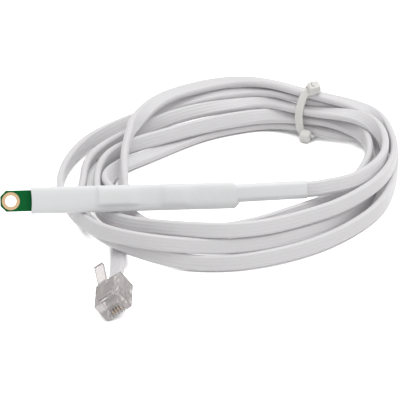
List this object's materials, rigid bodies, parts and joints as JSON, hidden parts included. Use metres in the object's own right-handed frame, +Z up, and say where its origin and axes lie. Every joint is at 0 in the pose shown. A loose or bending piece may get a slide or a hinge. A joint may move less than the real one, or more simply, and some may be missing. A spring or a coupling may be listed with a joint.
{
  "type": "humidity sensor",
  "caption": "Temperature and humidity probe: narrow board in white shrink sleeve with a bare screw tab, on a coiled flat cable with a clear modular plug.",
  "frame": {"origin": "centre of the probe's bounding box, from the board's tab to the end of its narrow sleeve", "axes": "+X along the probe, from the tab to the cable; +Z up, square to the surface that the coil and the plug lie on; +Y from the plug's side to the tie's side"},
  "size_m": [0.1289, 0.1274, 0.0169],
  "materials": {
    "solder_mask": "semi-gloss green solder mask",
    "gold": "thin bright gold plating",
    "epoxy": "matte black moulding",
    "ceramic": "satin",
    "solder": "bright",
    "shrink_sleeve": "satin white, softly wrinkled",
    "jacket": "satin white",
    "clear_plastic": "clear, polished",
    "nylon": "satin, slightly translucent",
    "core_black": "satin",
    "core_red": "satin",
    "core_green": "satin",
    "core_yellow": "satin"
  },
  "bodies": {
    "root": {"circuit_board": "solder_mask", "hole_plating": "gold", "humidity_chip": "epoxy", "controller_chip": "epoxy", "memory_chip": "epoxy", "decoupling_capacitor": "ceramic", "resistor_1": "epoxy", "resistor_2": "epoxy", "board_sleeve": "shrink_sleeve", "cable_sleeve": "shrink_sleeve", "cable_lead": "jacket", "cable_coil": "jacket", "cable_tail": "jacket", "plug_body": "clear_plastic", "cable_tie": "nylon", "board_conductor_1": "core_black", "plug_conductor_1": "core_black", "solder_joint_1": "solder", "plug_contact_1": "gold", "board_conductor_2": "core_red", "plug_conductor_2": "core_red", "solder_joint_2": "solder", "plug_contact_2": "gold", "board_conductor_3": "core_green", "plug_conductor_3": "core_green", "solder_joint_3": "solder", "plug_contact_3": "gold", "board_conductor_4": "core_yellow", "plug_conductor_4": "core_yellow", "solder_joint_4": "solder", "plug_contact_4": "gold"}
  },
  "joints": []
}
